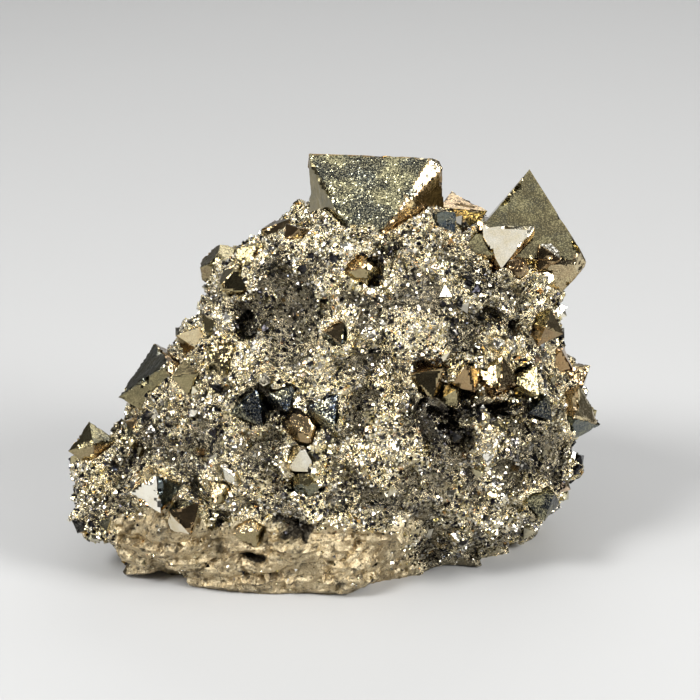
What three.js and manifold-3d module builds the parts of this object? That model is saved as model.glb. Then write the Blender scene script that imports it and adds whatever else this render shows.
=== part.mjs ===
// A pyrite specimen: a rounded mass of granular pyrite with octahedral crystals standing out of it.
// Millimetres, +Z up. The front looks along -Y, and the specimen rests on a broken, nearly flat base.

import * as THREE from "three";
import { ConvexGeometry } from "three/addons/geometries/ConvexGeometry.js";
import { mergeVertices } from "three/addons/utils/BufferGeometryUtils.js";
import Module from "manifold-3d";

// ---- Driving dimensions ----------------------------------------------------------------------------------

const GAP = 0.3; // clearance between a crystal and the mass or the crystal that it grew into
const MASS_DETAIL = 14; // subdivisions of the icosahedron that is pushed out to the mass's surface
const HEART = new THREE.Vector3(-2, 0, 22); // every point of the mass can be seen from here
const MASS_REACH = 80; // farther than any point of the mass is from its heart
const MASS_SQUARENESS = 2.5; // 2 would make the mass's level sections ellipses, more makes them squarer
const BLEND = 6; // how softly the lumps and hollows run into the mass
const FACET_SIZE = 6.5; // width of one broken facet of the mass
const FACET_DEPTH = 1.3; // how far the facets stand above and below the mass
const SEARCH_STEP = 0.5; // step of the search for the mass's surface, coming in from outside
const SEARCH_HALVINGS = 8; // times that the last step is halved to close in on the surface
const SUNK = 0.3; // how far a seated crystal's middle is under the surface, as a share of its reach

// The outline of the mass at rising heights: how far it goes to the left, right, front and back.
const LEVELS = [
  { z: 0, left: -33, right: 29, front: -19.5, back: 18 },
  { z: 6, left: -36, right: 32, front: -23, back: 22 },
  { z: 14, left: -38.5, right: 35, front: -25, back: 25 },
  { z: 22, left: -35, right: 35, front: -24.5, back: 26 },
  { z: 30, left: -29, right: 31, front: -23, back: 25 },
  { z: 38, left: -23, right: 28, front: -20.5, back: 22 },
  { z: 46, left: -19, right: 25, front: -18, back: 18 },
  { z: 50, left: -13, right: 20, front: -14, back: 13 },
  { z: 53, left: -4, right: 12, front: -9, back: 6 },
];

// Lumps that stand out of the mass, and hollows in it: middles, and half widths along X, Y and Z.
const LUMPS = [
  { name: "left lobe", at: [-37, -8, 11], half: [7.5, 9, 6.5] },
  { name: "front foot", at: [-11, -15.5, 6], half: [20, 7, 8] },
  { name: "brow in front of the crown", at: [2, -12, 47], half: [17, 7, 6] },
  { name: "cuff round the peak", at: [22, -8, 40.5], half: [7.5, 7.5, 6.5] },
];
const HOLLOWS = [
  { name: "undercut of the right side", at: [27, -28, -5], half: [24, 19, 9] },
  { name: "notch beside the front foot", at: [9, -28, 1], half: [4, 8, 5] },
];

// The crystals, the largest first. A crystal has its middle at a place, or is seated on the mass's
// surface in a direction from the heart (degrees round from +X, then degrees up) with its middle sunk
// below the surface. Its reach is from its middle to an octahedron's point, and its turn is about X, Y
// and Z in degrees. Its points may be cut off by a cube, which reaches a share of the octahedron's reach,
// and it may be drawn out along its own Z, where long is how many times longer than wide it is.
const PLACED = [
  { name: "crown_octahedron", at: [3.5, -2, 51.6], reach: 14.3, turn: [-83, 10, -136] },
  { name: "peak_octahedron", at: [25, -4, 46], reach: 13.1, turn: [80, 43, 82] },
  { name: "left_flank_crystal", at: [-28.5, -3.5, 26.3], reach: 7.8, turn: [42, 7, 107] },
  { name: "behind_crown_crystal", at: [15.6, 4, 49.4], reach: 5.5, turn: [-133, 30, -94] },
  { name: "right_edge_crystal", at: [32, -10, 23], reach: 5, turn: [-107, -6, -72] },
  { name: "shoulder_crystal", at: [-19.6, -1.7, 44.3], reach: 4.8, turn: [60, -8, 92], cube: 0.7 },
  { name: "spur_octahedron", at: [-39.6, -9, 18.8], reach: 3.9, turn: [61, 6, 100] },
  { name: "peak_step_crystal_1", at: [22.2, -9.2, 48.3], reach: 6, turn: [-83, 10, -136] },
  { name: "peak_step_crystal_2", at: [28, -12, 48.3], reach: 2.8, turn: [80, 43, 40] },
  { name: "right_point_crystal", at: [27.5, -14, 38.3], reach: 3, turn: [-107, 1, 20] },
];

const SEATED = [
  { name: "flank_bead_crystal", toward: [-177, 2], reach: 2.3, turn: [30, 20, 10], cube: 0.6 },
  { name: "left_lower_crystal", toward: [-164, -1], reach: 3.6, turn: [10, 35, 20] },
  { name: "right_facet_crystal", toward: [-6, 13], reach: 3.2, turn: [40, 10, 60] },
  { name: "right_flank_crystal", toward: [-1, 6], reach: 3.3, turn: [15, 50, 20] },
  { name: "ledge_crystal_1", toward: [-38, 19], reach: 3.8, turn: [10, 15, 0] },
  { name: "ledge_crystal_2", toward: [-46, 22], reach: 3, turn: [35, 0, 25] },
  { name: "ledge_crystal_3", toward: [-31, 15], reach: 3.3, turn: [0, 30, 40] },
  { name: "ledge_crystal_4", toward: [-59, 24], reach: 3.3, turn: [30, 40, 10] },
  { name: "ledge_crystal_5", toward: [-52, 18], reach: 2.4, turn: [50, 20, 30] },
  { name: "under_ledge_crystal", toward: [-29, 8], reach: 2.8, turn: [25, 25, 45] },
  { name: "front_prism", toward: [-104, 10], reach: 2.8, turn: [20, -40, 0], cube: 0.7, long: 1.7 },
  { name: "white_prism", toward: [-126, -5], reach: 1.8, turn: [0, -35, 0], cube: 0.6, long: 2 },
  { name: "star_crystal_1", toward: [-143, -9], reach: 4.2, turn: [35, 10, 15] },
  { name: "star_crystal_2", toward: [-135, -15], reach: 3.4, turn: [10, 45, 30] },
  { name: "star_crystal_3", toward: [-130, -12], reach: 2.6, turn: [45, 15, 60] },
  { name: "cap_crystal", toward: [-105, -1], reach: 3.2, turn: [35, 5, 45], cube: 0.8 },
  { name: "striated_crystal", toward: [-103, -9], reach: 3.4, turn: [5, 20, 30], cube: 0.6 },
  { name: "bead_crystal_1", toward: [-31, 41], reach: 2.2, turn: [30, 30, 0], cube: 0.7 },
  { name: "bead_crystal_2", toward: [-22, 36], reach: 2.1, turn: [10, 25, 50], cube: 0.7 },
  { name: "crown_foot_crystal_1", toward: [-149, 70], reach: 3.2, turn: [20, 30, 15] },
  { name: "crown_foot_crystal_2", toward: [-120, 67], reach: 2.8, turn: [45, 10, 35] },
  { name: "crown_foot_crystal_3", toward: [-30, 60], reach: 2.6, turn: [15, 40, 60] },
  { name: "striated_lump_crystal", toward: [-80, 56], reach: 3.4, turn: [60, 20, 10], cube: 0.8 },
  { name: "slope_crystal_1", toward: [-141, 29], reach: 3.6, turn: [25, 35, 0] },
  { name: "slope_crystal_2", toward: [-158, 38], reach: 3.5, turn: [40, 20, 50], cube: 0.8 },
  { name: "slope_crystal_3", toward: [-166, 28], reach: 3.2, turn: [0, 30, 25] },
  { name: "slope_crystal_4", toward: [-150, 19], reach: 2.8, turn: [50, 45, 10] },
  { name: "slope_crystal_5", toward: [-137, 49], reach: 3, turn: [20, 10, 40], cube: 0.8 },
  { name: "front_bead_crystal", toward: [-118, 26], reach: 2, turn: [35, 25, 15], cube: 0.6 },
  { name: "block_crystal", toward: [-37, 28], reach: 2.3, turn: [15, 15, 40], cube: 0.5 },
  { name: "dark_crystal_1", toward: [-123, 16], reach: 3.9, turn: [30, 5, 20] },
  { name: "dark_crystal_2", toward: [-97, 17], reach: 3.4, turn: [5, 40, 35] },
  { name: "dark_crystal_3", toward: [-114, 21], reach: 3, turn: [15, 50, 40] },
  { name: "brow_crystal", toward: [-138, 58], reach: 3.6, turn: [35, 15, 70], cube: 0.8 },
  { name: "foot_blade", toward: [-121, -23], reach: 3, turn: [70, 25, 15] },
  { name: "upper_front_crystal", toward: [-92, 42], reach: 2.4, turn: [10, 30, 25] },
  { name: "low_dark_crystal", toward: [-32, -15], reach: 3.4, turn: [45, 30, 5] },
];

// Crystals round the back, spread by turning a golden angle at a time.
const BACK_CRYSTALS = 10;
const BACK_REACH = { least: 2.6, most: 5.4 };
const BACK_RISE = { least: -14, most: 58 }; // degrees up from the heart
const BACK_SPREAD = { from: 8, over: 164 }; // degrees round from +X

const MASS_FINISH = { color: 0xa08c58, roughness: 0.4 };
const CRYSTAL_FINISH = { color: 0x8f8264, roughness: 0.2 };

// ---- Numbers that look random but never change -----------------------------------------------------------

// A number from 0 to 1 for a whole-number place in space and a channel.
function chance(i, j, k, channel) {
  const wave = Math.sin(i * 127.1 + j * 311.7 + k * 74.7 + channel * 191.3) * 43758.5453;
  return wave - Math.floor(wave);
}

// ---- The mass --------------------------------------------------------------------------------------------

// The mass's outline at any height, between the two levels around it.
function outlineAt(z) {
  const above = LEVELS.findIndex((level) => level.z > z);
  if (above === 0) return LEVELS[0];
  if (above < 0) return LEVELS[LEVELS.length - 1];
  const [low, high] = [LEVELS[above - 1], LEVELS[above]];
  const share = (z - low.z) / (high.z - low.z);
  const between = (side) => THREE.MathUtils.lerp(low[side], high[side], share);
  return { left: between("left"), right: between("right"), front: between("front"), back: between("back") };
}

// Roughly how far a point is outside the levels' outline.
function outsideLevels(point) {
  const { left, right, front, back } = outlineAt(point.z);
  const [halfWidth, halfDepth] = [(right - left) / 2, (back - front) / 2];
  const across = Math.abs(point.x - (left + right) / 2) / halfWidth;
  const along = Math.abs(point.y - (front + back) / 2) / halfDepth;
  const radius = (across ** MASS_SQUARENESS + along ** MASS_SQUARENESS) ** (1 / MASS_SQUARENESS);
  const aside = (radius - 1) * Math.min(halfWidth, halfDepth);
  return Math.max(aside, point.z - LEVELS[LEVELS.length - 1].z);
}

// Roughly how far a point is outside a lump or a hollow.
function outsideLump(point, lump) {
  const [x, y, z] = point.toArray().map((v, axis) => (v - lump.at[axis]) / lump.half[axis]);
  return (Math.hypot(x, y, z) - 1) * Math.min(...lump.half);
}

// The smaller of two distances, rounded off where they are nearly equal.
function softMin(a, b, softness) {
  const share = Math.max(softness - Math.abs(a - b), 0) / softness;
  return Math.min(a, b) - (share * share * softness) / 4;
}

// Height of the broken surface: space is split into cells, and each cell has its own tilted facet.
function facetHeight(point, size) {
  const scaled = point.clone().divideScalar(size);
  const cell = scaled.clone().floor();
  let nearest = Infinity;
  let height = 0;
  for (let i = cell.x - 1; i <= cell.x + 1; i++)
    for (let j = cell.y - 1; j <= cell.y + 1; j++)
      for (let k = cell.z - 1; k <= cell.z + 1; k++) {
        const [x, y, z, tiltX, tiltY, tiltZ, rise] = [1, 2, 3, 4, 5, 6, 7].map((n) => chance(i, j, k, n));
        const offset = scaled.clone().sub(new THREE.Vector3(i + x, j + y, k + z));
        if (offset.lengthSq() >= nearest) continue;
        nearest = offset.lengthSq();
        const tilt = new THREE.Vector3(tiltX, tiltY, tiltZ).subScalar(0.5);
        height = rise - 0.5 + tilt.dot(offset);
      }
  return height;
}

function outsideMass(point) {
  let outside = outsideLevels(point);
  for (const lump of LUMPS) outside = softMin(outside, outsideLump(point, lump), BLEND);
  for (const hollow of HOLLOWS) outside = -softMin(-outside, outsideLump(point, hollow), BLEND);
  return outside - 2 * FACET_DEPTH * facetHeight(point, FACET_SIZE);
}

// The surface of the mass in one direction from its heart, found by stepping in from outside.
function massSurface(direction) {
  const at = (distance) => direction.clone().multiplyScalar(distance).add(HEART);
  let inside = MASS_REACH;
  while (inside > 0 && outsideMass(at(inside)) > 0) inside -= SEARCH_STEP;
  let outside = inside + SEARCH_STEP;
  for (let halving = 0; halving < SEARCH_HALVINGS; halving++) {
    const middle = (inside + outside) / 2;
    if (outsideMass(at(middle)) > 0) outside = middle;
    else inside = middle;
  }
  return at(inside);
}

function massGeometry() {
  const sphere = new THREE.IcosahedronGeometry(1, MASS_DETAIL);
  sphere.deleteAttribute("normal");
  sphere.deleteAttribute("uv");
  const shell = mergeVertices(sphere);
  const positions = shell.attributes.position;
  const direction = new THREE.Vector3();
  for (let i = 0; i < positions.count; i++) {
    direction.fromBufferAttribute(positions, i).normalize();
    positions.setXYZ(i, ...massSurface(direction).toArray());
  }
  return shell;
}

// ---- The crystals ----------------------------------------------------------------------------------------

// The direction at so many degrees round from +X and up from level.
function towardDegrees(degrees) {
  const [round, up] = degrees.map(THREE.MathUtils.degToRad);
  return new THREE.Vector3(Math.cos(up) * Math.cos(round), Math.cos(up) * Math.sin(round), Math.sin(up));
}

function seatOf(crystal) {
  if (crystal.at) return new THREE.Vector3(...crystal.at);
  const direction = towardDegrees(crystal.toward);
  return massSurface(direction).addScaledVector(direction, -SUNK * crystal.reach);
}

function backCrystals() {
  const GOLDEN = (Math.sqrt(5) - 1) / 2;
  return Array.from({ length: BACK_CRYSTALS }, (_, n) => {
    const share = (n + 0.5) / BACK_CRYSTALS;
    const round = BACK_SPREAD.from + BACK_SPREAD.over * ((n * GOLDEN) % 1);
    const up = THREE.MathUtils.lerp(BACK_RISE.least, BACK_RISE.most, share);
    const reach = THREE.MathUtils.lerp(BACK_REACH.least, BACK_REACH.most, chance(n, 1, 1, 1));
    const turn = [2, 3, 4].map((channel) => 90 * chance(n, 1, 1, channel));
    return { name: `back_crystal_${n + 1}`, toward: [round, up], reach, turn };
  });
}

// An octahedron whose points are cut off by a cube. The cube reaches a share of the octahedron's reach.
function crystalPoints(cube) {
  const rest = 1 - cube;
  const [far, near] = cube > 0.5 ? [rest, 0] : [cube, 1 - 2 * cube];
  const points = [];
  for (let axis = 0; axis < 3; axis++)
    for (const side of [-cube, cube])
      for (const across of [-far, far])
        for (const along of [-near, near]) {
          const spots = cube > 0.5 ? [[across, 0], [0, across]] : [[across, along], [along, across]];
          for (const [second, third] of spots) {
            const point = new THREE.Vector3();
            point.setComponent(axis, side);
            point.setComponent((axis + 1) % 3, second);
            point.setComponent((axis + 2) % 3, third);
            points.push(point);
          }
        }
  return points;
}

// A crystal's geometry where it sits, with its faces moved out by a clearance.
function crystalGeometry(crystal, clearance = 0) {
  const { reach, cube = 1, long = 1 } = crystal;
  const growth = 1 + (clearance * Math.sqrt(3)) / reach;
  const shape = cube < 1 ? new ConvexGeometry(crystalPoints(cube)) : new THREE.OctahedronGeometry(1);
  const turn = new THREE.Euler(...crystal.turn.map(THREE.MathUtils.degToRad));
  return shape
    .scale(reach * growth, reach * growth, reach * (growth + long - 1))
    .applyMatrix4(new THREE.Matrix4().makeRotationFromEuler(turn))
    .translate(...seatOf(crystal).toArray());
}

// ---- Solids ----------------------------------------------------------------------------------------------

const wasm = await Module();
wasm.setup();

function solidOf(geometry) {
  const bare = geometry.clone();
  bare.deleteAttribute("normal");
  bare.deleteAttribute("uv");
  const merged = mergeVertices(bare);
  return new wasm.Manifold(
    new wasm.Mesh({
      numProp: 3,
      vertProperties: new Float32Array(merged.attributes.position.array),
      triVerts: new Uint32Array(merged.index.array),
    }),
  );
}

function geometryOf(solid) {
  const { vertProperties, triVerts } = solid.getMesh();
  const geometry = new THREE.BufferGeometry();
  geometry.setAttribute("position", new THREE.BufferAttribute(vertProperties, 3));
  geometry.setIndex(new THREE.BufferAttribute(triVerts, 1));
  geometry.computeVertexNormals();
  return geometry;
}

function pieceOf(name, solid, finish) {
  const material = new THREE.MeshStandardMaterial({ ...finish, metalness: 1, flatShading: true });
  const mesh = new THREE.Mesh(geometryOf(solid), material);
  mesh.name = name;
  return mesh;
}

// ---- The specimen ----------------------------------------------------------------------------------------

const cluster = new THREE.Group();
const crystals = [...PLACED, ...SEATED, ...backCrystals()];
const block = new THREE.BoxGeometry(2 * MASS_REACH, 2 * MASS_REACH, MASS_REACH);
const ground = solidOf(block.translate(0, 0, -MASS_REACH / 2));

// The mass is broken off flat underneath, and holds a pocket for each crystal.
let mass = solidOf(massGeometry()).subtract(ground);
const pockets = crystals.map((crystal) => solidOf(crystalGeometry(crystal, GAP)));
for (const pocket of pockets) mass = mass.subtract(pocket);
cluster.add(pieceOf("granular_mass", mass, MASS_FINISH));

// A crystal stops short of the larger ones that it grew against.
crystals.forEach((crystal, n) => {
  let solid = solidOf(crystalGeometry(crystal));
  for (const pocket of pockets.slice(0, n)) solid = solid.subtract(pocket);
  cluster.add(pieceOf(crystal.name, solid, CRYSTAL_FINISH));
});

// The origin is at the middle of the specimen's box, on the level that it rests on.
const middle = new THREE.Box3().setFromObject(cluster).getCenter(new THREE.Vector3());
cluster.position.set(-middle.x, -middle.y, 0);
const specimen = new THREE.Group().add(cluster);

export default specimen;
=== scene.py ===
"""A cluster of pyrite: a granular mass, its crust of tiny crystals, and the octahedra standing out of it."""

import math
from itertools import product

import bmesh
import bpy
import numpy as np
from bpy.props import FloatProperty, FloatVectorProperty, IntProperty, PointerProperty
from mathutils import Matrix, Vector


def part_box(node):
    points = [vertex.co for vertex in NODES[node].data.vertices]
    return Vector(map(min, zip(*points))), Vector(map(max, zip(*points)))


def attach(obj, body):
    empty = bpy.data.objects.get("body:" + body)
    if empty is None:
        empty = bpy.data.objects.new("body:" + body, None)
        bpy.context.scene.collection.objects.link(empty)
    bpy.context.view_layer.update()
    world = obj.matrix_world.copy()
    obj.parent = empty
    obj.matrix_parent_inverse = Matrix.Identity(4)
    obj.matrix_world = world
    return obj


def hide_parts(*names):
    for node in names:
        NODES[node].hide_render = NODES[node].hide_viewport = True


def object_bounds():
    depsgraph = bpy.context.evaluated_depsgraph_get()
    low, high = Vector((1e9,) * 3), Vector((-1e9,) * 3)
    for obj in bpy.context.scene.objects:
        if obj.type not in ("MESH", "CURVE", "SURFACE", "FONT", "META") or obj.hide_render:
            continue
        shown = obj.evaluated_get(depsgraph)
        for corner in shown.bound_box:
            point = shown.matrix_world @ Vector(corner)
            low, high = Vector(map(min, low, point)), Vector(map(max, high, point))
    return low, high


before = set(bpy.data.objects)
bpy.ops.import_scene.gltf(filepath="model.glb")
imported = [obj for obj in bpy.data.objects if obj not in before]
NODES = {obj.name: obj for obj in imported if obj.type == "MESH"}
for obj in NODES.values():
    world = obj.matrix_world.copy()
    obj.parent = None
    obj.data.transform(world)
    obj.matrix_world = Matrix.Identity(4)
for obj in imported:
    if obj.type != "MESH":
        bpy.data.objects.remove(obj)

bl_info = {
    "name": "Pyrite Cluster",
    "version": (1, 0, 0),
    "blender": (4, 5, 0),
    "location": "3D View > Sidebar > Pyrite",
    "description": "Grows the crust, the crystals and the stage of a pyrite cluster round its solid frame",
    "category": "Add Mesh",
}

MM = 0.001
CAD_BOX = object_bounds()
MASS = "granular_mass"
CRYSTALS = sorted(name for name in NODES if name != MASS)


# ---- Settings --------------------------------------------------------------------------------------------


def length_setting(name, millimetres, description):
    return FloatProperty(name=name, description=description, default=millimetres * MM, unit="LENGTH")


def colour_setting(name, shade, description):
    return FloatVectorProperty(name=name, description=description, default=shade, subtype="COLOR", size=3)


class MassSettings(bpy.types.PropertyGroup):
    """Sizes and colours of the granular mass"""

    cell: length_setting("Cell", 0.5, "Width of one face of the mass's surface")
    swell: length_setting("Swell", 0.3, "How far the mass closes in on its crystals")
    lump_size: length_setting("Lump size", 5.0, "Width of the blocky lumps")
    grain_size: length_setting("Grain size", 1.5, "Width of the coarse grains on the lumps")
    worn: colour_setting("Worn", (0.50, 0.395, 0.235), "Colour of the worn foot")
    fresh: colour_setting("Fresh", (0.62, 0.54, 0.36), "Colour of the fresh mass")


class CrustSettings(bpy.types.PropertyGroup):
    """Sizes and numbers of the tiny crystals of the crust"""

    fine_density: FloatProperty(
        name="Fine crystals", description="Fine crystals on a square millimetre", default=9.0
    )
    fine_least: length_setting("Fine least", 0.12, "Reach of the smallest fine crystals")
    fine_most: length_setting("Fine most", 0.5, "Reach of the largest fine crystals")
    fine_loners: FloatProperty(
        name="Fine loners", description="Share of them turned out of line", default=0.3, subtype="FACTOR"
    )
    coarse_density: FloatProperty(
        name="Coarse crystals", description="Coarse crystals on a square millimetre", default=0.22
    )
    coarse_least: length_setting("Coarse least", 0.6, "Reach of the smallest coarse crystals")
    coarse_most: length_setting("Coarse most", 1.6, "Reach of the largest coarse crystals")
    coarse_loners: FloatProperty(
        name="Coarse loners", description="Share of them turned out of line", default=0.7, subtype="FACTOR"
    )
    patch: length_setting("Patch", 3.5, "Width of a patch of crystals that face the same way")
    bright: colour_setting("Bright", (0.86, 0.79, 0.60), "Colour of clean crystals")
    seed: IntProperty(name="Seed", description="Which of the possible crusts is grown", default=7)


class CrystalSettings(bpy.types.PropertyGroup):
    """Sizes and colours of the large crystals"""

    step: length_setting("Step", 0.45, "Widest spacing of the cuts in a crystal's fine mesh")
    face: colour_setting("Face", (0.42, 0.35, 0.19), "Colour of a crystal's faces")
    tarnish: colour_setting("Tarnish", (0.13, 0.15, 0.14), "Colour of tarnished faces")


# ---- Numbers that look random but never change -----------------------------------------------------------


def cell_chance(cells, channel):
    """A number from 0 to 1 for each whole-number cell in space, in a channel of its own."""
    x, y, z = (cells[..., axis].astype(np.int64) for axis in range(3))
    mixed = (x * 73856093) ^ (y * 19349663) ^ (z * 83492791) ^ (channel * 982451653)
    for _ in range(2):
        mixed = ((mixed ^ (mixed >> 15)) * 2246822519) & 0xFFFFFFFF
        mixed = ((mixed ^ (mixed >> 13)) * 3266489917) & 0xFFFFFFFF
    return ((mixed ^ (mixed >> 16)) & 0xFFFFFF) / float(0x1000000)


def soft_noise(points, size, channel):
    """Smooth noise from 0 to 1 with blobs of a size."""
    scaled = points / size
    cells = np.floor(scaled)
    share = scaled - cells
    share = share * share * (3 - 2 * share)
    total = np.zeros(len(points))
    for corner in product((0, 1), repeat=3):
        corner = np.array(corner)
        weight = np.prod(np.where(corner, share, 1 - share), axis=1)
        total += weight * cell_chance(cells + corner, channel)
    return total


def turned(vectors, turns):
    """Vectors turned about a random axis, given by four numbers from 0 to 1 for each."""
    quaternion = turns * 2 - 1
    quaternion /= np.linalg.norm(quaternion, axis=1, keepdims=True) + 1e-9
    real, imaginary = quaternion[:, :1], quaternion[:, 1:]
    side = np.cross(imaginary, vectors)
    return vectors + 2 * (real * side + np.cross(imaginary, side))


def heap_of_octahedra(points, size, channel):
    """How deep each point is inside a heap of octahedra, one to each cell of space, in cells."""
    scaled = points / size
    cells = np.floor(scaled)
    deepest = np.full(len(points), -1.0)
    for offset in product((-1, 0, 1), repeat=3):
        cell = cells + np.array(offset)
        chances = np.stack([cell_chance(cell, channel + n) for n in range(8)], axis=1)
        across = turned(scaled - cell - chances[:, :3], chances[:, 3:7])
        reach = 0.55 + 0.45 * chances[:, 7]
        depth = (reach - np.abs(across).sum(axis=1)) / math.sqrt(3)
        deepest = np.maximum(deepest, depth)
    return deepest


def broken_facets(points, size, channel):
    """Height of a surface broken into tilted facets, from about -0.5 to 0.5, and how far inside its facet a
    point is."""
    scaled = points / size
    cells = np.floor(scaled)
    nearest = np.full(len(points), np.inf)
    second = np.full(len(points), np.inf)
    height = np.zeros(len(points))
    for offset in product((-1, 0, 1), repeat=3):
        cell = cells + np.array(offset)
        chances = np.stack([cell_chance(cell, channel + n) for n in range(7)], axis=1)
        away = scaled - cell - chances[:, :3]
        distance = (away**2).sum(axis=1)
        rise = 0.5 * (chances[:, 6] - 0.5) + ((chances[:, 3:6] - 0.5) * away).sum(axis=1)
        closer = distance < nearest
        second = np.where(closer, nearest, np.minimum(second, distance))
        height = np.where(closer, rise, height)
        nearest = np.where(closer, distance, nearest)
    return height, np.sqrt(second) - np.sqrt(nearest)


def ramp(values, start, end):
    """0 before start, 1 after end, smooth between them."""
    share = np.clip((values - start) / (end - start), 0, 1)
    return share * share * (3 - 2 * share)


# ---- Meshes ----------------------------------------------------------------------------------------------


def coordinates(mesh):
    points = np.empty(len(mesh.vertices) * 3)
    mesh.vertices.foreach_get("co", points)
    return points.reshape(-1, 3)


def vertex_normals(mesh):
    normals = np.empty(len(mesh.vertices) * 3, np.float32)
    mesh.vertex_normals.foreach_get("vector", normals)
    return normals.reshape(-1, 3).astype(float)


def set_coordinates(mesh, points):
    mesh.vertices.foreach_set("co", points.astype(np.float32).ravel())
    mesh.update()


def store(mesh, name, values, kind="FLOAT", domain="POINT"):
    attribute = mesh.attributes.new(name, kind, domain)
    attribute.data.foreach_set("value", values.astype(np.int32 if kind == "INT" else np.float32))


def new_object(name, data):
    piece = bpy.data.objects.new(name, data)
    bpy.context.scene.collection.objects.link(piece)
    return piece


def merged_copy(node):
    """A CAD node's mesh as one closed surface, with its doubled corners merged."""
    sculpt = bmesh.new()
    sculpt.from_mesh(NODES[node].data)
    bmesh.ops.remove_doubles(sculpt, verts=sculpt.verts, dist=0.001 * MM)
    return sculpt


def evaluated_mesh(piece):
    depsgraph = bpy.context.evaluated_depsgraph_get()
    return bpy.data.meshes.new_from_object(piece.evaluated_get(depsgraph), depsgraph=depsgraph)


# ---- Shader and geometry trees ---------------------------------------------------------------------------


class Value:
    """A socket of a node tree, which takes part in sums, products, quotients and powers as a number does."""

    def __init__(self, tree, socket):
        self.tree = tree
        self.socket = socket

    def __add__(self, other):
        return self.tree.maths("ADD", self, other)

    def __sub__(self, other):
        return self.tree.maths("SUBTRACT", self, other)

    def __rsub__(self, other):
        return self.tree.maths("SUBTRACT", other, self)

    def __mul__(self, other):
        return self.tree.maths("MULTIPLY", self, other)

    def __rtruediv__(self, other):
        return self.tree.maths("DIVIDE", other, self)

    def __pow__(self, other):
        return self.tree.maths("POWER", self, other)

    __radd__ = __add__
    __rmul__ = __mul__


class Tree:
    """A shader or geometry tree under construction."""

    def __init__(self, nodes):
        self.nodes = nodes.nodes
        self.links = nodes.links

    def node(self, kind, settings=None, **sockets):
        """Adds a node: its settings first, then the values or links of its sockets. _ stands for a space."""
        made = self.nodes.new(kind)
        for name, setting in (settings or {}).items():
            if name == "stops":
                self.set_stops(made.color_ramp, setting)
            else:
                setattr(made, name, setting)
        for name, value in sockets.items():
            self.put(self.find(made.inputs, name), value)
        return made

    @staticmethod
    def set_stops(color_ramp, stops):
        while len(color_ramp.elements) < len(stops):
            color_ramp.elements.new(1.0)
        for element, (position, colour) in zip(color_ramp.elements, stops):
            element.position = position
            element.color = (*colour, 1.0)

    @staticmethod
    def find(sockets, name):
        names = (name, name.replace("_", " "))
        return next(s for s in sockets if s.enabled and (s.identifier in names or s.name in names))

    def put(self, socket, value):
        if isinstance(value, Value):
            self.links.new(value.socket, socket)
        else:
            socket.default_value = value

    def out(self, node, name=None):
        return Value(self, self.find(node.outputs, name) if name else node.outputs[0])

    def maths(self, operation, *values):
        node = self.nodes.new("ShaderNodeMath")
        node.operation = operation
        for socket, value in zip(node.inputs, values):
            self.put(socket, value)
        return self.out(node)

    def vectors(self, operation, *values):
        node = self.nodes.new("ShaderNodeVectorMath")
        node.operation = operation
        for socket, value in zip(node.inputs, values):
            self.put(socket, value)
        return self.out(node)

    def scaled(self, vector, factor):
        settings = {"operation": "SCALE"}
        return self.out(self.node("ShaderNodeVectorMath", settings, Vector=vector, Scale=factor))

    def mix(self, share, first, second, blend="MIX"):
        """A colour between two colours."""
        first, second = ((*c, 1.0) if isinstance(c, tuple) and len(c) == 3 else c for c in (first, second))
        settings = {"data_type": "RGBA", "blend_type": blend, "clamp_factor": True}
        node = self.node("ShaderNodeMix", settings, Factor_Float=share, A_Color=first, B_Color=second)
        return self.out(node, "Result_Color")

    def ramp(self, value, start, end):
        """0 before start, 1 after end, smooth between them."""
        settings = {"interpolation_type": "SMOOTHSTEP"}
        return self.out(self.node("ShaderNodeMapRange", settings, Value=value, From_Min=start, From_Max=end))


class Metal(Tree):
    """A metallic material on object coordinates, in millimetres."""

    def __init__(self, name):
        self.material = bpy.data.materials.new(name)
        self.material.use_nodes = True
        super().__init__(self.material.node_tree)
        self.nodes.clear()
        place = self.out(self.node("ShaderNodeTexCoord"), "Object")
        self.place = self.scaled(place, 1 / MM)

    def noise(self, size, detail=3.0, roughness=0.55):
        settings = {"Scale": 1 / size, "Detail": detail, "Roughness": roughness}
        return self.out(self.node("ShaderNodeTexNoise", Vector=self.place, **settings))

    def cells(self, size):
        """A random colour for each cell of a size."""
        return self.out(self.node("ShaderNodeTexVoronoi", Vector=self.place, Scale=1 / size), "Color")

    def attribute(self, name):
        return self.out(self.node("ShaderNodeAttribute", {"attribute_name": name}), "Fac")

    def tilted(self, *glints):
        """The surface's normal, tilted at random in cells: (cell size, tilt) for each size of facet."""
        normal = self.out(self.node("ShaderNodeNewGeometry"), "Normal")
        for size, tilt in glints:
            lean = self.vectors("SUBTRACT", self.cells(size), (0.5, 0.5, 0.5))
            normal = self.vectors("ADD", normal, self.scaled(lean, tilt))
        return self.vectors("NORMALIZE", normal)

    def bumped(self, height, distance, normal):
        """A normal with a relief on it, whose height of 1 stands for a distance in millimetres."""
        return self.out(self.node("ShaderNodeBump", Height=height, Distance=distance * MM, Normal=normal))

    def finish(self, colour, roughness, normal):
        sockets = {"Base_Color": colour, "Roughness": roughness, "Normal": normal}
        shader = self.node("ShaderNodeBsdfPrincipled", **sockets)
        shader.inputs["Metallic"].default_value = 1.0
        output = self.node("ShaderNodeOutputMaterial")
        self.links.new(shader.outputs[0], output.inputs["Surface"])
        return self.material


# ---- Materials -------------------------------------------------------------------------------------------


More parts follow.
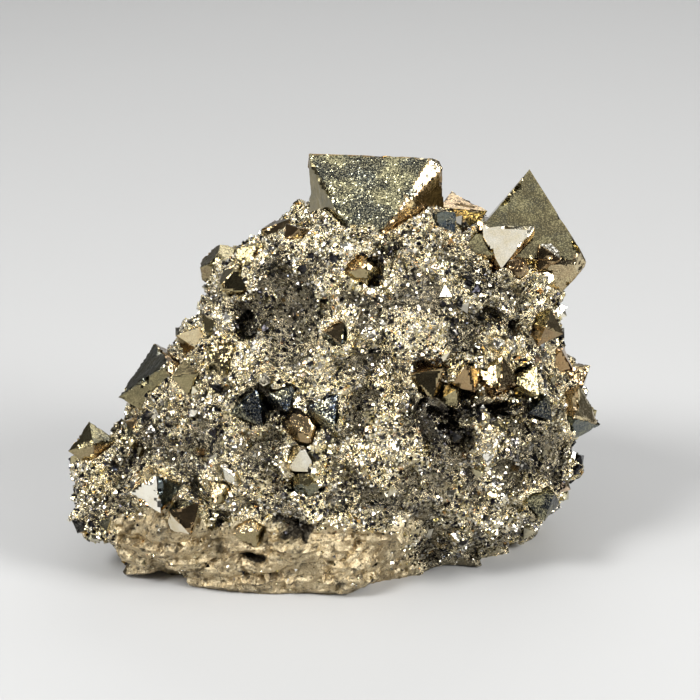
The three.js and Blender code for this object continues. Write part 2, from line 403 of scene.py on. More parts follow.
def mass_metal(settings):
    """The granular mass: worn and brassy at the foot, fresh and broken above, with painted shade in its
    pits, crevices and hollows.
    """
    metal = Metal("granular_pyrite")
    worn = metal.attribute("worn")
    patches = metal.noise(6.0, detail=4.0)
    shade = metal.noise(1.3, detail=5.0, roughness=0.65)
    colour = metal.mix(worn, tuple(settings.fresh), tuple(settings.worn))
    colour = metal.mix(metal.ramp(patches, 0.45, 0.7) * 0.5, colour, (0.34, 0.29, 0.18))
    colour = metal.mix(metal.ramp(shade, 0.42, 0.62) * 0.45, colour, (0.92, 0.80, 0.55))
    # Painted shade: the pits, pressed in by the bump below, and the crevices between the foot's facets,
    # broken up by noise, are darkened nearly to black.
    crevices = 1 - metal.ramp(metal.attribute("inside"), 0.0, 0.18)
    pits = metal.ramp(metal.noise(0.8, detail=6.0, roughness=0.7), 0.55, 0.66)
    crevice_shade_breakup = metal.ramp(metal.noise(2.4, detail=6.0, roughness=0.7), 0.44, 0.56)
    colour = metal.mix(pits * 0.7, colour, (0.05, 0.045, 0.035))
    colour = metal.mix(crevices * crevice_shade_breakup * 0.9, colour, (0.03, 0.026, 0.02))
    specks = metal.ramp(metal.noise(0.3, detail=4.0, roughness=0.8), 0.53, 0.62)
    colour = metal.mix(specks * worn * 0.6, colour, (0.11, 0.085, 0.05))
    # Painted shade: the grooves and sunken places are darkened nearly to black, with a ragged edge on the
    # worn foot.
    cavity = metal.attribute("cavity")
    ragged = metal.ramp(cavity + 0.7 * (metal.noise(0.9, detail=6.0, roughness=0.7) - 0.5), 0.45, 0.6)
    colour = metal.mix(worn * ragged * 0.9 + (1 - worn) * cavity * 0.9, colour, (0.024, 0.022, 0.02))
    roughness = 0.12 + 0.22 * worn + 0.2 * metal.ramp(patches, 0.35, 0.75)
    normal = metal.tilted((0.28, 0.9 - 0.45 * worn), (1.4, 0.5 * worn))
    relief = metal.noise(0.5, detail=8.0, roughness=0.8) - 0.6 * pits
    return metal.finish(colour, roughness, metal.bumped(relief, 0.14, normal))


def crust_metal(settings):
    """The crust's tiny crystals: each has a tint of its own, most brassy, some dark as painted dark
    reflections, a few near white as painted glints, a few iridescent.
    """
    metal = Metal("crust_pyrite")
    tint = metal.attribute("tint")
    # The brass and iridescent tints are the crystals' own colours; the near-black ones paint dark
    # reflections and the near-white one paints glints.
    stops = [
        (0.0, (0.012, 0.012, 0.018)),
        (0.3, (0.03, 0.028, 0.026)),
        (0.38, (0.42, 0.36, 0.20)),
        (0.54, (0.64, 0.58, 0.36)),
        (0.7, tuple(settings.bright)),
        (0.93, (1.0, 0.97, 0.88)),
        (0.96, (0.66, 0.38, 0.14)),
        (0.98, (0.80, 0.66, 0.22)),
        (1.0, (0.30, 0.36, 0.50)),
    ]
    colour = metal.out(metal.node("ShaderNodeValToRGB", {"stops": stops}, Fac=tint))
    # Painted light: noise patches of crystals are painted nearly black as dark reflections and shade, and
    # others nearly white as glints.
    dimmed = metal.ramp(metal.noise(4.5, detail=4.0, roughness=0.6), 0.52, 0.64)
    paler = metal.ramp(metal.noise(3.6, detail=4.0, roughness=0.6), 0.5, 0.66)
    colour = metal.mix(paler * 0.4, colour, (0.96, 0.90, 0.76))
    colour = metal.mix(dimmed * 0.55, colour, (0.045, 0.045, 0.05))
    # Painted shade: crystals in the grooves and sunken places are darkened.
    colour = metal.mix(metal.attribute("cavity") * 0.8, colour, (0.03, 0.028, 0.03))
    normal = metal.tilted((0.35, 0.25))
    return metal.finish(colour, 0.06 + 0.2 * metal.noise(1.0), normal)


def crystal_metal(settings):
    """The large crystals' faces: smooth or etched in fine grains, in tones from blue-black to cream, which
    are partly the crystals' tarnish and partly painted reflections and highlights.
    """
    metal = Metal("crystal_pyrite")
    etched = metal.attribute("etched")
    tone = metal.attribute("tone")
    stops = [
        (0.0, (0.02, 0.025, 0.04)),
        (0.15, (0.05, 0.07, 0.10)),
        (0.3, tuple(settings.tarnish)),
        (0.4, (0.20, 0.17, 0.09)),
        (0.5, tuple(settings.face)),
        (0.6, (0.28, 0.20, 0.11)),
        (0.75, (0.48, 0.31, 0.15)),
        (0.88, (0.74, 0.62, 0.38)),
        (1.0, (0.96, 0.92, 0.80)),
    ]
    patches = metal.noise(5.0, detail=5.0, roughness=0.6)
    drift = 0.24 * (metal.noise(3.0, detail=6.0, roughness=0.7) - 0.5)
    colour = metal.out(metal.node("ShaderNodeValToRGB", {"stops": stops}, Fac=tone + drift))
    film = metal.ramp(metal.noise(4.0, detail=6.0, roughness=0.65), 0.46, 0.62)
    colour = metal.mix(film * etched * 0.5, colour, (0.40, 0.37, 0.17))
    grit = metal.noise(0.2, detail=3.0, roughness=0.7) + 0.06 * (film - 0.5)
    colour = metal.mix(metal.ramp(grit, 0.52, 0.6) * etched * 0.7, colour, (0.78, 0.70, 0.42))
    colour = metal.mix(metal.ramp(1 - grit, 0.47, 0.55) * etched * 0.95, colour, (0.02, 0.022, 0.02))
    roughness = 0.06 + 0.1 * metal.ramp(patches, 0.4, 0.7) + 0.16 * etched
    normal = metal.tilted((0.2, 0.04 + 0.36 * etched))
    return metal.finish(colour, roughness, metal.bumped(0.4 * metal.noise(0.8, detail=5.0), 0.12, normal))


# ---- The crystals' planes --------------------------------------------------------------------------------


def face_planes(sculpt):
    """The planes of a crystal's faces as (normal, distance from the origin)."""
    planes = []
    for face in sculpt.faces:
        normal = np.array(face.normal)
        distance = normal @ np.array(face.calc_center_median())
        if not any(normal @ n > 0.9999 and abs(distance - d) < 0.01 * MM for n, d in planes):
            planes.append((normal, distance))
    return planes


def outside_crystals(points):
    """How far each point is outside the nearest large crystal."""
    nearest = np.full(len(points), np.inf)
    for node in CRYSTALS:
        sculpt = merged_copy(node)
        planes = face_planes(sculpt)
        sculpt.free()
        outside = np.max([points @ normal - distance for normal, distance in planes], axis=0)
        nearest = np.minimum(nearest, outside)
    return nearest


# ---- The granular mass -----------------------------------------------------------------------------------

# Places on the mass, in millimetres in the row's frame.
WORN_TOP = 12.0
WORN_RIGHT = 12.0
LOBE_RIGHT = -33.0
WORN_FRONT = (4.0, 12.0)  # how far to the front the wear begins and is full
WORN_BACK = 0.35  # the wear at the back, as a share of that in front

# The first random channel of each thing that noise or cells shape.
WEAR, PATCHES, LUMPS, GRAINS, LOBE_GRAINS, FACETS, BOULDERS, RAGGED = 40, 60, 100, 200, 300, 400, 500, 90

LOBE_GRAIN = 1.0 * MM
LAYERING = (0.8, 1, 1.7)  # how much flatter the foot's facets are along x, y and z
FACET_KINDS = ((5.0, 1.9), (2.2, 0.6))  # width and depth of the foot's facets, in millimetres
DEEPEST, HIGHEST = -2.4 * MM, 1.3 * MM
MARGIN = 0.8 * MM  # how far the surface may stand past the CAD box


def worn_share(points):
    """1 on the worn foot of the mass, 0 on its fresh crust."""
    x, y, z = (points / MM).T
    edge = WORN_TOP + 5 * (soft_noise(points / MM, 6.0, WEAR) - 0.5)
    low = 1 - ramp(z, edge - 1.5, edge + 1.5)
    left = 1 - ramp(x, WORN_RIGHT - 3, WORN_RIGHT + 3)
    off_lobe = ramp(x, LOBE_RIGHT - 2, LOBE_RIGHT + 2)
    return low * left * off_lobe * (WORN_BACK + (1 - WORN_BACK) * ramp(-y, *WORN_FRONT))


def hollow(points, start, end, width, depth):
    """A groove between two places, in millimetres: how far it goes in at each point."""
    start, end = np.array(start), np.array(end)
    along = end - start
    share = np.clip(((points / MM - start) @ along) / max(along @ along, 1e-9), 0, 1)
    away = np.linalg.norm(points / MM - start - share[:, None] * along, axis=1)
    away += 0.7 * width * (soft_noise(points / MM, 1.2, RAGGED) - 0.5)
    return depth * MM * (1 - ramp(away, 0.35 * width, width))


# Hollows in the mass, which the materials darken with painted shade: ends in millimetres in the row's frame,
# and width and depth in millimetres.
HOLLOWS = [
    {"start": (13.6, -23.5, 30.0), "end": (29.0, -20.5, 27.5), "width": 2.4, "depth": 3.4},
    {"start": (-21.5, -25.0, 14.5), "end": (-18.0, -25.5, 13.0), "width": 2.2, "depth": 2.8},
    {"start": (-8.5, -26.0, 11.5), "end": (-3.5, -26.0, 11.0), "width": 2.2, "depth": 2.4},
    {"start": (11.0, -26.0, 7.5), "end": (9.5, -24.0, 1.5), "width": 2.8, "depth": 2.6},
    {"start": (-14.5, -25.5, 6.0), "end": (-10.5, -25.5, 6.8), "width": 1.7, "depth": 2.0},
    {"start": (-10.5, -21.5, 31.5), "end": (-4.0, -23.0, 26.5), "width": 2.0, "depth": 2.2},
    {"start": (16.5, -24.0, 25.0), "end": (20.0, -24.0, 24.0), "width": 1.6, "depth": 1.6},
    {"start": (23.5, -17.5, 41.0), "end": (27.5, -17.0, 38.0), "width": 1.6, "depth": 1.8},
    {"start": (-15.0, -14.0, 41.5), "end": (-12.5, -15.5, 39.0), "width": 1.8, "depth": 1.6},
]


def remeshed_mass(cell):
    """The CAD mass in small even faces."""
    sculpt = merged_copy(MASS)
    rough = bpy.data.meshes.new("mass_rough")
    sculpt.to_mesh(rough)
    sculpt.free()
    piece = new_object("mass_rough", rough)
    remesh = piece.modifiers.new("Remesh", "REMESH")
    remesh.mode = "VOXEL"
    remesh.voxel_size = cell
    mesh = evaluated_mesh(piece)
    bpy.data.objects.remove(piece)
    bpy.data.meshes.remove(rough)
    return mesh


def heaped(points, size, height, level, channel):
    """How high a heap of octahedra stands over a level in it. The height is a share of their size."""
    return height * size * (heap_of_octahedra(points, size, channel) - level)


def mass_surface(settings):
    """The CAD mass swollen to close in on its crystals, and broken into lumps, grains and facets."""
    mesh = remeshed_mass(settings.cell)
    points, normals = coordinates(mesh), vertex_normals(mesh)
    worn = worn_share(points)
    outside = outside_crystals(points) / MM
    lobe = ramp(-points[:, 0] / MM, -LOBE_RIGHT - 2, -LOBE_RIGHT + 2)
    lump, grain = settings.lump_size, settings.grain_size
    height = (1 - worn) * heaped(points, 2 * lump, 0.4, 0.25, BOULDERS)
    height += (1 - 0.75 * worn) * heaped(points, lump, 0.7, 0.22, LUMPS)
    height += (1 - worn) * heaped(points, grain, 0.7, 0.2, GRAINS)
    height += lobe * heaped(points, LOBE_GRAIN, 0.4, 0.0, LOBE_GRAINS)
    for size, depth in FACET_KINDS:
        facets, inside = broken_facets(points * LAYERING, size * MM, FACETS)
        height += worn * depth * MM * (facets - 0.2 * (1 - ramp(inside, 0.0, 0.1)))
    height = np.clip(height, DEEPEST, HIGHEST) * ramp(outside, 0.4, 2.0)
    sunken = 0.7 * ramp(-height / MM, 1.1, 2.4)
    grooves = np.sum([hollow(points, **groove) for groove in HOLLOWS], axis=0)
    height += settings.swell - grooves
    points = points + normals * (height * ramp(points[:, 2] / MM, 0.2, 1.5))[:, None]
    points[:, 2] = np.maximum(points[:, 2], 0)
    low, high = (np.array(corner) for corner in CAD_BOX)
    points = np.clip(points, low - MARGIN, high + MARGIN)
    set_coordinates(mesh, points)

    # The grooves and sunken places, which the materials darken with painted shade.
    cavity = np.maximum(ramp(grooves / MM, 0.4, 1.6), sunken)
    store(mesh, "worn", worn)
    store(mesh, "inside", inside)
    store(mesh, "cavity", cavity)
    fine, coarse = crust_cover(points, worn, outside, cavity)
    store(mesh, "fine_cover", fine)
    store(mesh, "coarse_cover", coarse)
    return mesh


def crust_cover(points, worn, outside, cavity):
    """How densely the fine and the coarse crystals grow at each point, as shares of their density. They keep
    clear of the base and of the large crystals, and the coarse ones grow in patches, most on the flanks."""
    x, _, z = (points / MM).T
    open_air = ramp(z, 0.6, 1.6) * ramp(outside, 0.5, 0.9) * (1 - 0.6 * cavity)
    flanks = 0.25 + ramp(np.abs(x - 4), 9, 20)
    patches = flanks * (0.4 + 1.4 * ramp(soft_noise(points, 7 * MM, PATCHES), 0.4, 0.7))
    clear = ramp(outside, 1.2, 2.4) * ramp(z, 2.0, 3.0)
    return (1 - 0.97 * worn) * open_air, (1 - worn) * open_air * patches * clear


def set_sectors(mesh, count):
    """Numbers the mass's faces by the way they face, so that the crust can be grown in pieces."""
    centres = np.empty(len(mesh.polygons) * 3)
    mesh.polygons.foreach_get("center", centres)
    x, y, _ = centres.reshape(-1, 3).T
    around = (np.arctan2(x, -y) / math.tau) % 1.0
    store(mesh, "sector", np.floor(around * count), "INT", "FACE")


# ---- The crust -------------------------------------------------------------------------------------------

SECTORS = 6
SMALLNESS = 2.5  # the power that makes most crystals small
JITTER = 0.25  # how far a crystal turns from its patch, in radians about each axis
SUNK = 0.25  # how far a crystal's middle is under the surface, as a share of its reach
CRUST_INPUTS = {
    "Sector": "NodeSocketInt",
    "Cover": "NodeSocketString",
    "Density": "NodeSocketFloat",
    "Least Reach": "NodeSocketFloat",
    "Most Reach": "NodeSocketFloat",
    "Patch": "NodeSocketFloat",
    "Loners": "NodeSocketFloat",
    "Seed": "NodeSocketInt",
    "Material": "NodeSocketMaterial",
}


def crust_tree():
    """Strews octahedra over a surface. Neighbours in one patch face the same way, apart from some loners."""
    group = bpy.data.node_groups.new("strewn_crystals", "GeometryNodeTree")
    group.interface.new_socket("Geometry", in_out="INPUT", socket_type="NodeSocketGeometry")
    group.interface.new_socket("Geometry", in_out="OUTPUT", socket_type="NodeSocketGeometry")
    for name, kind in CRUST_INPUTS.items():
        group.interface.new_socket(name, in_out="INPUT", socket_type=kind)
    tree = Tree(group)
    given = tree.node("NodeGroupInput")
    named = {name: tree.out(given, name) for name in ("Geometry", *CRUST_INPUTS)}

    cover = tree.node("GeometryNodeInputNamedAttribute", {"data_type": "FLOAT"}, Name=named["Cover"])
    sector = tree.node("GeometryNodeInputNamedAttribute", {"data_type": "INT"}, Name="sector")
    same = {"data_type": "INT", "operation": "EQUAL"}
    numbers = {"A": tree.out(sector, "Attribute"), "B": named["Sector"]}
    here = tree.out(tree.node("FunctionNodeCompare", same, **numbers))
    density = tree.out(cover, "Attribute") * here * named["Density"] * (1 / MM**2)
    spread = tree.node(
        "GeometryNodeDistributePointsOnFaces", Mesh=named["Geometry"], Density=density, Seed=named["Seed"]
    )

    def chance(kind, low, high, offset, **more):
        sockets = {"Min": low, "Max": high, "Seed": named["Seed"] + offset, **more}
        return tree.out(tree.node("FunctionNodeRandomValue", {"data_type": kind}, **sockets), "Value")

    rank = chance("FLOAT", 0.0, 1.0, 1) ** SMALLNESS
    size = named["Least Reach"] + (named["Most Reach"] - named["Least Reach"]) * rank
    place = tree.out(tree.node("GeometryNodeInputPosition"))
    patch = tree.node("ShaderNodeTexVoronoi", Vector=place, Scale=1.0 / named["Patch"])
    together = tree.scaled(tree.out(patch, "Color"), math.tau)
    jitter = chance("FLOAT_VECTOR", (-JITTER,) * 3, (JITTER,) * 3, 2)
    together = tree.vectors("ADD", together, jitter)
    alone = chance("FLOAT_VECTOR", (0.0,) * 3, (math.tau,) * 3, 3)
    loner = tree.node(
        "FunctionNodeRandomValue",
        {"data_type": "BOOLEAN"},
        Probability=named["Loners"],
        Seed=named["Seed"] + 4,
    )
    choices = {"Switch": tree.out(loner, "Value"), "False": together, "True": alone}
    turn = tree.out(tree.node("GeometryNodeSwitch", {"input_type": "VECTOR"}, **choices))
    sunk = tree.scaled(tree.out(spread, "Normal"), size * -SUNK)
    points = tree.node("GeometryNodeSetPosition", Geometry=tree.out(spread, "Points"), Offset=sunk)
    octahedron = tree.node("GeometryNodeMeshUVSphere", Segments=4, Rings=2, Radius=1.0)
    grown = tree.node(
        "GeometryNodeInstanceOnPoints",
        Points=tree.out(points),
        Instance=tree.out(octahedron, "Mesh"),
        Rotation=turn,
        Scale=size,
    )
    tinted = tree.node(
        "GeometryNodeStoreNamedAttribute",
        {"data_type": "FLOAT", "domain": "INSTANCE"},
        Geometry=tree.out(grown),
        Name="tint",
        Value=chance("FLOAT", 0.0, 1.0, 5),
    )
    real = tree.node("GeometryNodeRealizeInstances", Geometry=tree.out(tinted))
    painted = tree.node("GeometryNodeSetMaterial", Geometry=tree.out(real), Material=named["Material"])
    tree.node("NodeGroupOutput", Geometry=tree.out(painted))
    return group


def grown_crust(name, mesh, group, inputs):
    """The plain mesh of the crystals that the tree strews over the mass."""
    piece = new_object(name, mesh.copy())
    modifier = piece.modifiers.new("Crust", "NODES")
    modifier.node_group = group
    sockets = {item.name: item.identifier for item in group.interface.items_tree if item.in_out == "INPUT"}
    for label, value in inputs.items():
        modifier[sockets[label]] = value
    grown = evaluated_mesh(piece)
    piece.modifiers.clear()
    plain = piece.data
    piece.data = grown
    bpy.data.meshes.remove(plain)
    return piece


# ---- The large crystals ----------------------------------------------------------------------------------

RELIEF = 0.0015  # depth of a growth step or a dent, as a share of the crystal's size
FINEST_STEP = 0.15 * MM
TONE_CHANNEL, RELIEF_CHANNEL, BREAK_CHANNEL = 70, 1000, 5000


def fine_crystal(node, step):
    """A crystal's mesh with its faces cut finely, and the planes of its faces as (normal, distance)."""
    sculpt = merged_copy(node)
    corners, edges = sculpt.verts[:], sculpt.edges[:]
    bmesh.ops.dissolve_limit(sculpt, angle_limit=math.radians(1), verts=corners, edges=edges)
    planes = face_planes(sculpt)
    low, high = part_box(node)
    for axis in range(3):
        facing = Vector.Fill(3, 0.0)
        facing[axis] = 1.0
        for cut in np.arange(low[axis] + step, high[axis], step):
            everything = sculpt.verts[:] + sculpt.edges[:] + sculpt.faces[:]
            plane = {"plane_co": facing * cut, "plane_no": facing}
            bmesh.ops.bisect_plane(sculpt, geom=everything, dist=0.001 * MM, **plane)
    mesh = bpy.data.meshes.new(f"{node}_grown")
    sculpt.to_mesh(mesh)
    sculpt.free()
    return mesh, planes


def face_relief(points, planes, index, size, channel):
    """How far each point of one face of a crystal goes in: growth steps, fine dents and chipped edges."""
    normal, distance = planes[index]
    edge = np.full(len(points), 1.0)
    for other, (facing, reach) in enumerate(planes):
        slant = math.sqrt(max(1 - (facing @ normal) ** 2, 0.0))
        if other != index and slant > 0.2:
            edge = np.minimum(edge, np.abs(points @ facing - reach) / slant)
    edge /= MM
    wobble = 0.5 * soft_noise(points, 1.6 * MM, channel)
    steps = np.floor((edge + wobble) / (0.12 * size + 0.4)) % 3
    inward = RELIEF * size * steps
    inward += RELIEF * size * ramp(soft_noise(points, 0.9 * MM, channel + 1), 0.6, 0.9)
    chipped = ramp(soft_noise(points, 2.0 * MM, channel + 2), 0.5, 0.85) * min(0.06 * size, 0.7)
    inward += np.maximum(chipped - 0.8 * edge, 0)
    return inward * MM


# Edges and points that are broken off: which way the break faces, and how deep it cuts, in millimetres.
BREAKS = {
    "crown_octahedron": [((0.36, -0.79, 0.50), 0.9), ((0.62, -0.35, 0.7), 0.5)],
    "peak_octahedron": [((0.74, -0.66, 0.15), 1.6)],
    "left_flank_crystal": [((0.3, -0.8, 0.5), 0.8)],
}

# Faces with a tone of their own: which way the face looks, its tone and how deeply it is etched. The tones
# run from 0, blue-black, by 0.3, blue-grey, 0.5, brass, and 0.8, orange-brown, to 1, nearly white. Besides
# the crystals' own tarnish they hold painted reflections and highlights: dark or blue-grey where a face
# reflects the dim room, near white where it catches a lamp.
FACES = {
    "crown_octahedron": [
        ((-0.11, -0.66, 0.74), 0.34, 1.0),
        ((-0.90, -0.42, -0.07), 0.41, 0.05),
        ((0.70, -0.71, -0.07), 0.61, 0.1),
    ],
    "peak_octahedron": [((0.03, -0.63, 0.77), 0.4, 0.55), ((-0.08, -0.94, -0.33), 0.84, 0.5)],
    "star_crystal_1": [((-0.30, -0.95, 0.12), 1.0, 0.05), ((0.80, -0.59, 0.13), 0.24, 0.1)],
    "star_crystal_2": [((-0.56, -0.73, -0.39), 0.95, 0.05), ((0.26, -0.87, 0.41), 0.62, 0.1)],
    "left_flank_crystal": [((-0.31, -0.95, -0.02), 0.42, 0.3), ((-0.65, -0.16, 0.75), 0.35, 0.1)],
}

# Whole crystals with tones of their own: of the faces that look up, and of the others. Besides the crystals'
# own tarnish, the tones paint light: the faces that look up mostly get the lighter tone.
TONES = {
    "peak_step_crystal_1": (0.96, 0.66),
    "peak_step_crystal_2": (0.92, 0.7),
    "white_prism": (1.0, 0.95),
    "block_crystal": (1.0, 0.9),
    "front_bead_crystal": (1.0, 0.95),
    "cap_crystal": (0.98, 0.9),
    "striated_crystal": (0.5, 0.35),
    "front_prism": (0.74, 0.66),
    "crown_foot_crystal_1": (0.62, 0.6),
    "crown_foot_crystal_2": (0.66, 0.6),
    "crown_foot_crystal_3": (0.3, 0.2),
    "ledge_crystal_1": (0.5, 0.64),
    "ledge_crystal_2": (0.88, 0.7),
    "ledge_crystal_3": (0.5, 0.4),
    "ledge_crystal_4": (0.66, 0.6),
    "right_facet_crystal": (0.72, 0.66),
    "behind_crown_crystal": (0.72, 0.55),
    "star_crystal_1": (0.9, 0.62),
    "star_crystal_2": (0.3, 0.5),
    "star_crystal_3": (0.9, 0.5),
    "foot_blade": (0.88, 0.5),
    "spur_octahedron": (0.42, 0.6),
    "bead_crystal_1": (0.64, 0.6),
    "bead_crystal_2": (0.9, 0.88),
    "slope_crystal_1": (0.5, 0.42),
    "slope_crystal_2": (0.45, 0.4),
    "slope_crystal_3": (0.9, 0.6),
    "brow_crystal": (0.5, 0.6),
    "striated_lump_crystal": (0.6, 0.5),
    "upper_front_crystal": (0.6, 0.3),
    "dark_crystal_1": (0.12, 0.02),
    "dark_crystal_2": (0.12, 0.02),
    "dark_crystal_3": (0.3, 0.05),
    "low_dark_crystal": (0.2, 0.05),
    "under_ledge_crystal": (0.2, 0.05),
}

# A face that looks up takes its crystal's upper tone, mostly the lighter one, as painted light from above.
UPWARD = 0.35  # a face whose normal rises more than this looks up
BREAK_TONE, BREAK_ETCHING = 0.9, 0.22
BREAK_EDGE = 0.05 * MM  # a point pressed in further than this is part of a break


def tone_and_etching_of(node, normal, number):
    """The tone and the etching of one face of a crystal. The tone is partly painted light: faces that look
    up mostly get a lighter tone than the others.
    """
    for facing, tone, etched in FACES.get(node, ()):
        if normal @ np.array(facing) > 0.97:
            return tone, etched
    chances = cell_chance(np.array([[number, index, 0] for index in range(3)]), TONE_CHANNEL)
    upper, lower = TONES.get(node, (0.4 + 0.5 * chances[0], 0.3 + 0.35 * chances[1]))
    side = cell_chance(np.round(normal * 9)[None], TONE_CHANNEL + 1 + number)[0]
    # Painted light: faces that look up take the upper tone, mostly the lighter one.
    tone = (upper if normal[2] > UPWARD else lower) + 0.12 * (side - 0.5)
    return tone, 0.1 + 0.3 * chances[2] + 2 * max(0.3 - tone, 0)


def broken(points, facing, depth, channel):
    """The points with what stands past a rough break pressed back to it, and how far each is pressed."""
    facing = np.array(facing) / np.linalg.norm(facing)
    reach = points @ facing
    rough = 0.22 * MM * heap_of_octahedra(points, 1.3 * MM, channel)
    past = np.maximum(reach - (reach.max() - depth * MM + rough), 0)
    return points - past[:, None] * facing, past


def grow_crystal(node, number, step):
    """A detailed crystal in the place of its CAD node."""
    low, high = (Vector(corner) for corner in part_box(node))
    size = max(high - low) / MM
    mesh, planes = fine_crystal(node, max(min(step, size * 0.06 * MM), FINEST_STEP))
    points = coordinates(mesh)
    moved = np.zeros_like(points)
    tones = np.full(len(points), 0.5)
    etchings = np.zeros(len(points))
    for index, (normal, distance) in enumerate(planes):
        on = np.abs(points @ normal - distance) < 0.002 * MM
        channel = RELIEF_CHANNEL + 20 * number + index
        depth = face_relief(points[on], planes, index, size, channel)
        moved[on] -= depth[:, None] * normal
        tones[on], etchings[on] = tone_and_etching_of(node, normal, number)
    points = points + moved
    for count, (facing, depth) in enumerate(BREAKS.get(node, ())):
        points, past = broken(points, facing, depth, BREAK_CHANNEL + 10 * count)
        tones = np.where(past > BREAK_EDGE, BREAK_TONE, tones)
        etchings = np.where(past > BREAK_EDGE, BREAK_ETCHING, etchings)
    set_coordinates(mesh, points)
    store(mesh, "tone", tones)
    store(mesh, "etched", etchings)
    return new_object(f"{node}_grown", mesh)


# ---- The stage -------------------------------------------------------------------------------------------

CAMERA_PLACE = Vector((3.0, -293.5, 130.3)) * MM
CAMERA_DOWN = 18.86  # degrees below level
CAMERA_ROLL = -0.88  # degrees
CAMERA_LENS = 103.7  # millimetres, on a sensor 36 mm wide

# The soft lights, all aimed at one place: place, width and height in metres, and power in watts.
LIT_PLACE = Vector((0, 0, 30)) * MM
LIGHTS = {
    "key_light": ((-0.5, -0.45, 0.7), 0.3, 0.3, 8.0),
    "side_light": ((0.62, -0.4, 0.42), 0.3, 0.45, 8.0),
    "top_light": ((0.0, -0.12, 0.9), 1.3, 1.1, 3.4),
    "left_light": ((-0.7, -0.2, 0.25), 0.18, 0.4, 1.6),
    "back_light": ((0.1, 0.75, 0.6), 0.8, 0.25, 2.6),
}


def softbox(name, place, width, height, power):
    light = bpy.data.lights.new(name, "AREA")
    light.shape = "RECTANGLE"
    light.size = width
    light.size_y = height
    light.energy = power
    piece = new_object(name, light)
    piece.location = place
    piece.rotation_euler = (LIT_PLACE - piece.location).to_track_quat("-Z", "Y").to_euler()


def paper(colour):
    material = bpy.data.materials.new("stage_paper")
    material.use_nodes = True
    tree = Tree(material.node_tree)
    place = tree.out(tree.node("ShaderNodeTexCoord"), "Object")
    mottle = tree.out(tree.node("ShaderNodeTexNoise", Vector=place, Scale=6.0, Detail=4.0))
    tone = tree.mix(mottle, colour, tuple(0.97 * c for c in colour))
    shader = material.node_tree.nodes["Principled BSDF"]
    tree.put(shader.inputs["Base Color"], tone)
    shader.inputs["Roughness"].default_value = 0.85
    return material


def sweep():
    """The floor and the backdrop in one sheet that curves up behind the specimen."""
    half, back, bend, top, turns = 2.5, 0.9, 0.5, 2.2, 16
    profile = [(-half, 0.0), (back, 0.0)]
    for n in range(1, turns + 1):
        angle = math.radians(90 * n / turns)
        profile.append((back + bend * math.sin(angle), bend * (1 - math.cos(angle))))
    profile.append((back + bend, top))
    mesh = bpy.data.meshes.new("sweep")
    corners = [(side * half, y, z) for y, z in profile for side in (-1, 1)]
    faces = [(2 * n, 2 * n + 1, 2 * n + 3, 2 * n + 2) for n in range(len(profile) - 1)]
    mesh.from_pydata(corners, [], faces)
    mesh.shade_smooth()
    mesh.materials.append(paper((0.46, 0.46, 0.455)))
    return new_object("sweep", mesh)


def studio_world():
    """A room that is pale behind the specimen, dim in front of it and brighter overhead."""
    world = bpy.data.worlds.new("studio")
    world.use_nodes = True
    tree = Tree(world.node_tree)
    direction = tree.out(tree.node("ShaderNodeTexCoord"), "Generated")
    split = tree.node("ShaderNodeSeparateXYZ", Vector=direction)
    overhead = tree.ramp(tree.out(split, "Z"), -0.1, 0.95)
    behind = tree.ramp(tree.out(split, "Y"), -0.3, 0.8)
    room = tree.mix(overhead, (0.012, 0.013, 0.016), (0.16, 0.163, 0.168))
    room = tree.mix(behind * 0.6, room, (0.5, 0.5, 0.5))
    seen = tree.mix(overhead, (0.72, 0.72, 0.71), (0.45, 0.45, 0.45))
    camera = tree.out(tree.node("ShaderNodeLightPath"), "Is Camera Ray")
    tree.put(world.node_tree.nodes["Background"].inputs["Color"], tree.mix(camera, room, seen))
    bpy.context.scene.world = world


# ---- Operators -------------------------------------------------------------------------------------------


class PYRITE_OT_mass(bpy.types.Operator):
    """Builds the granular mass's broken surface"""

    bl_idname = "pyrite.mass"
    bl_label = "Granular Mass"

    def execute(self, context):
        settings = context.scene.pyrite_mass
        mesh = mass_surface(settings)
        set_sectors(mesh, SECTORS)
        mesh.materials.append(mass_metal(settings))
        piece = new_object("broken_mass", mesh)
        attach(piece, "root")
        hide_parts(MASS)
        return {"FINISHED"}


class PYRITE_OT_crust(bpy.types.Operator):
    """Strews tiny crystals over the mass, in sectors round it"""

    bl_idname = "pyrite.crust"
    bl_label = "Crystal Crust"

    def execute(self, context):
        settings = context.scene.pyrite_crust
        mass = bpy.data.objects["broken_mass"]
        group = crust_tree()
        metal = crust_metal(settings)
        for sector in range(SECTORS):
            for kind in ("fine", "coarse"):
                inputs = {
                    "Sector": sector,
                    "Cover": f"{kind}_cover",
                    "Density": getattr(settings, f"{kind}_density"),
                    "Least Reach": getattr(settings, f"{kind}_least"),
                    "Most Reach": getattr(settings, f"{kind}_most"),
                    "Patch": settings.patch,
                    "Loners": getattr(settings, f"{kind}_loners"),
                    "Seed": settings.seed + 10 * sector,
                    "Material": metal,
                }
                piece = grown_crust(f"{kind}_crust_{sector + 1}", mass.data, group, inputs)
                if not piece.data.polygons:
                    raise RuntimeError(f"{piece.name} has no crystals")
                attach(piece, "root")
        return {"FINISHED"}


class PYRITE_OT_crystals(bpy.types.Operator):
    """Details the large crystals: growth steps, dents and chipped edges"""

    bl_idname = "pyrite.crystals"
    bl_label = "Large Crystals"

    def execute(self, context):
        settings = context.scene.pyrite_crystal
        metal = crystal_metal(settings)
        for number, node in enumerate(CRYSTALS):
            piece = grow_crystal(node, number, settings.step)
            piece.data.materials.append(metal)
            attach(piece, "root")
            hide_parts(node)
        return {"FINISHED"}


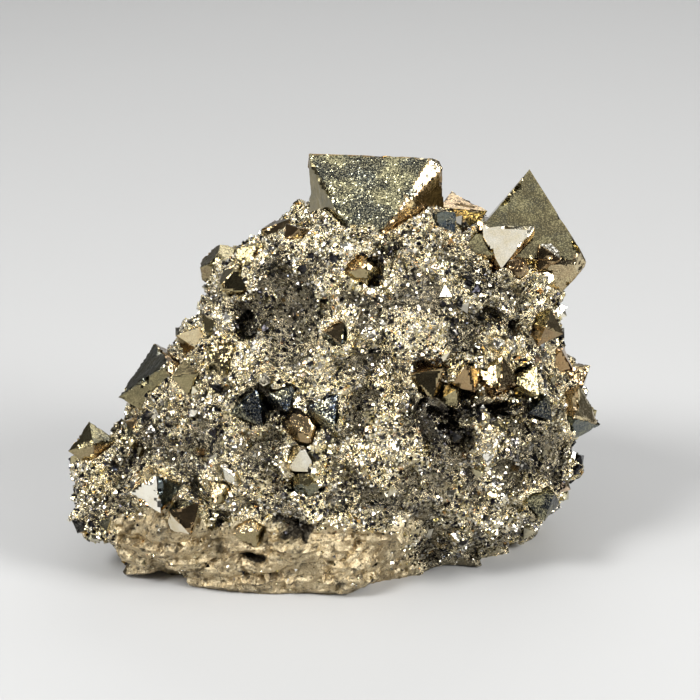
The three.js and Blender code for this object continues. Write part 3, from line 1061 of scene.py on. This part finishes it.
class PYRITE_OT_stage(bpy.types.Operator):
    """Sets the floor, the backdrop, the soft lights and the camera"""

    bl_idname = "pyrite.stage"
    bl_label = "Stage"

    def execute(self, context):
        sweep()
        studio_world()
        for name, light in LIGHTS.items():
            softbox(name, *light)
        context.scene.view_settings.view_transform = "Standard"
        camera = new_object("camera", bpy.data.cameras.new("camera"))
        camera.location = CAMERA_PLACE
        tilt = Matrix.Rotation(math.radians(90 - CAMERA_DOWN), 4, "X")
        roll = Matrix.Rotation(math.radians(CAMERA_ROLL), 4, "Z")
        camera.rotation_euler = (tilt @ roll).to_euler()
        camera.data.lens = CAMERA_LENS
        camera.data.sensor_width = 36.0
        camera.data.clip_end = 20.0
        context.scene.camera = camera
        return {"FINISHED"}


class PYRITE_PT_panel(bpy.types.Panel):
    """Lists the steps that grow the cluster"""

    bl_idname = "PYRITE_PT_panel"
    bl_label = "Pyrite Cluster"
    bl_space_type = "VIEW_3D"
    bl_region_type = "UI"
    bl_category = "Pyrite"

    def draw(self, context):
        scene = context.scene
        for settings in (scene.pyrite_mass, scene.pyrite_crust, scene.pyrite_crystal):
            box = self.layout.box()
            for name in settings.__annotations__:
                box.prop(settings, name)
        for operator in OPERATORS:
            self.layout.operator(operator.bl_idname)


OPERATORS = (PYRITE_OT_mass, PYRITE_OT_crust, PYRITE_OT_crystals, PYRITE_OT_stage)
SETTINGS = {"pyrite_mass": MassSettings, "pyrite_crust": CrustSettings, "pyrite_crystal": CrystalSettings}


def register():
    for kind in (*SETTINGS.values(), *OPERATORS, PYRITE_PT_panel):
        bpy.utils.register_class(kind)
    for name, kind in SETTINGS.items():
        setattr(bpy.types.Scene, name, PointerProperty(type=kind))


def unregister():
    for name in SETTINGS:
        delattr(bpy.types.Scene, name)
    for kind in reversed((*SETTINGS.values(), *OPERATORS, PYRITE_PT_panel)):
        bpy.utils.unregister_class(kind)


def main():
    register()
    for operator in OPERATORS:
        step = getattr(bpy.ops.pyrite, operator.bl_idname.split(".")[1])
        step()


if __name__ == "__main__":
    main()
